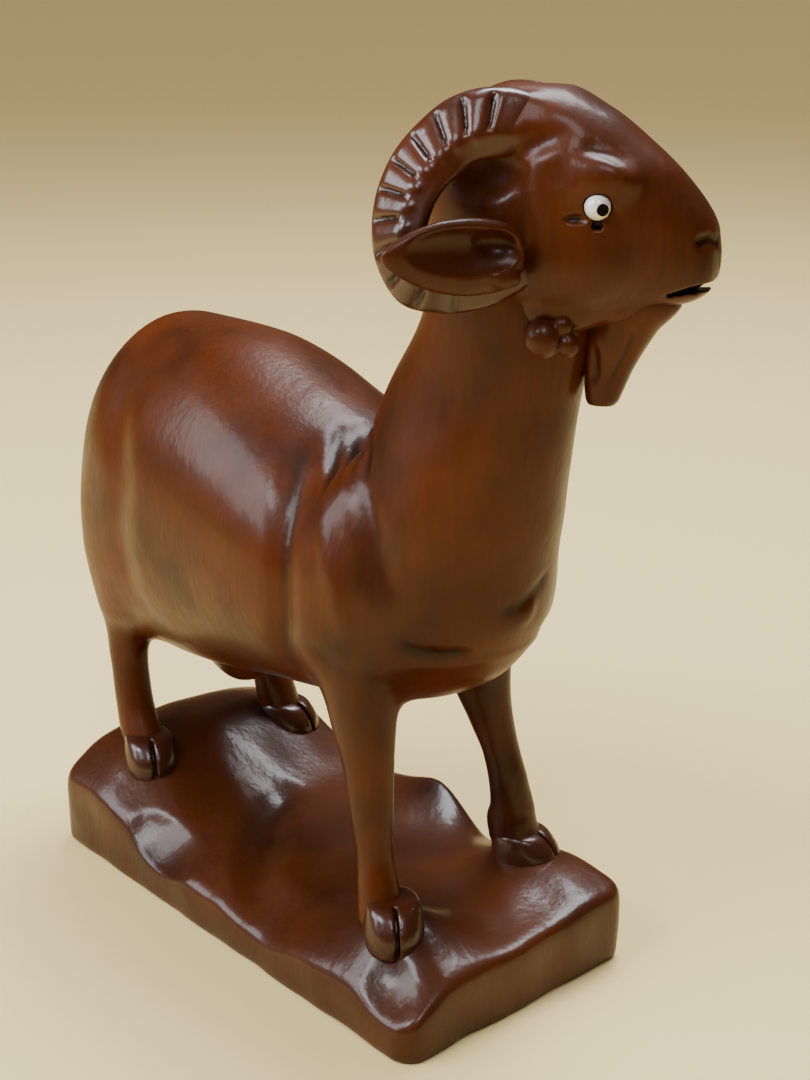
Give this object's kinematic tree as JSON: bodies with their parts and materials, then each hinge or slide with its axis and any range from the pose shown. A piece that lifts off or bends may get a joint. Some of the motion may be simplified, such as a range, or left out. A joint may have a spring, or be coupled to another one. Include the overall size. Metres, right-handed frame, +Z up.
{
  "type": "carved goat statue",
  "caption": "Polished hardwood carving of a standing bearded goat with curled ridged horns and white bead eyes, on a rocky rectangular plinth.",
  "frame": {"origin": "centre of the plinth's flat underside", "axes": "+X is the way the goat's body faces, +Y its left, +Z up"},
  "size_m": [0.1877, 0.0749, 0.2015],
  "materials": {
    "carved_wood": "dark reddish-brown rosewood-like hardwood, waxed and polished to a soft gloss",
    "horn_wood": "the same polished wood, carved in ridges that catch the light",
    "hoof_wood": "the same wood, darker and glossier, with wax left in the creases",
    "plinth_wood": "the same polished wood with tooled facets, paler on the sawn sides",
    "white_glass": "opaque white glass bead, glossy",
    "dark_pin": "near-black glossy plug in the bead's bore"
  },
  "bodies": {
    "root": {"plinth": "plinth_wood", "torso": "carved_wood", "neck": "carved_wood", "head": "carved_wood", "tail": "carved_wood", "sheath": "carved_wood", "beard": "carved_wood", "left_horn": "horn_wood", "left_ear": "carved_wood", "left_wattle": "carved_wood", "front_left_leg": "carved_wood", "rear_left_leg": "carved_wood", "front_left_hoof": "hoof_wood", "rear_left_hoof": "hoof_wood", "right_horn": "horn_wood", "right_ear": "carved_wood", "right_wattle": "carved_wood", "front_right_leg": "carved_wood", "rear_right_leg": "carved_wood", "front_right_hoof": "hoof_wood", "rear_right_hoof": "hoof_wood", "left_eye_bead": "white_glass", "left_eye_pin": "dark_pin", "right_eye_bead": "white_glass", "right_eye_pin": "dark_pin"}
  },
  "joints": []
}
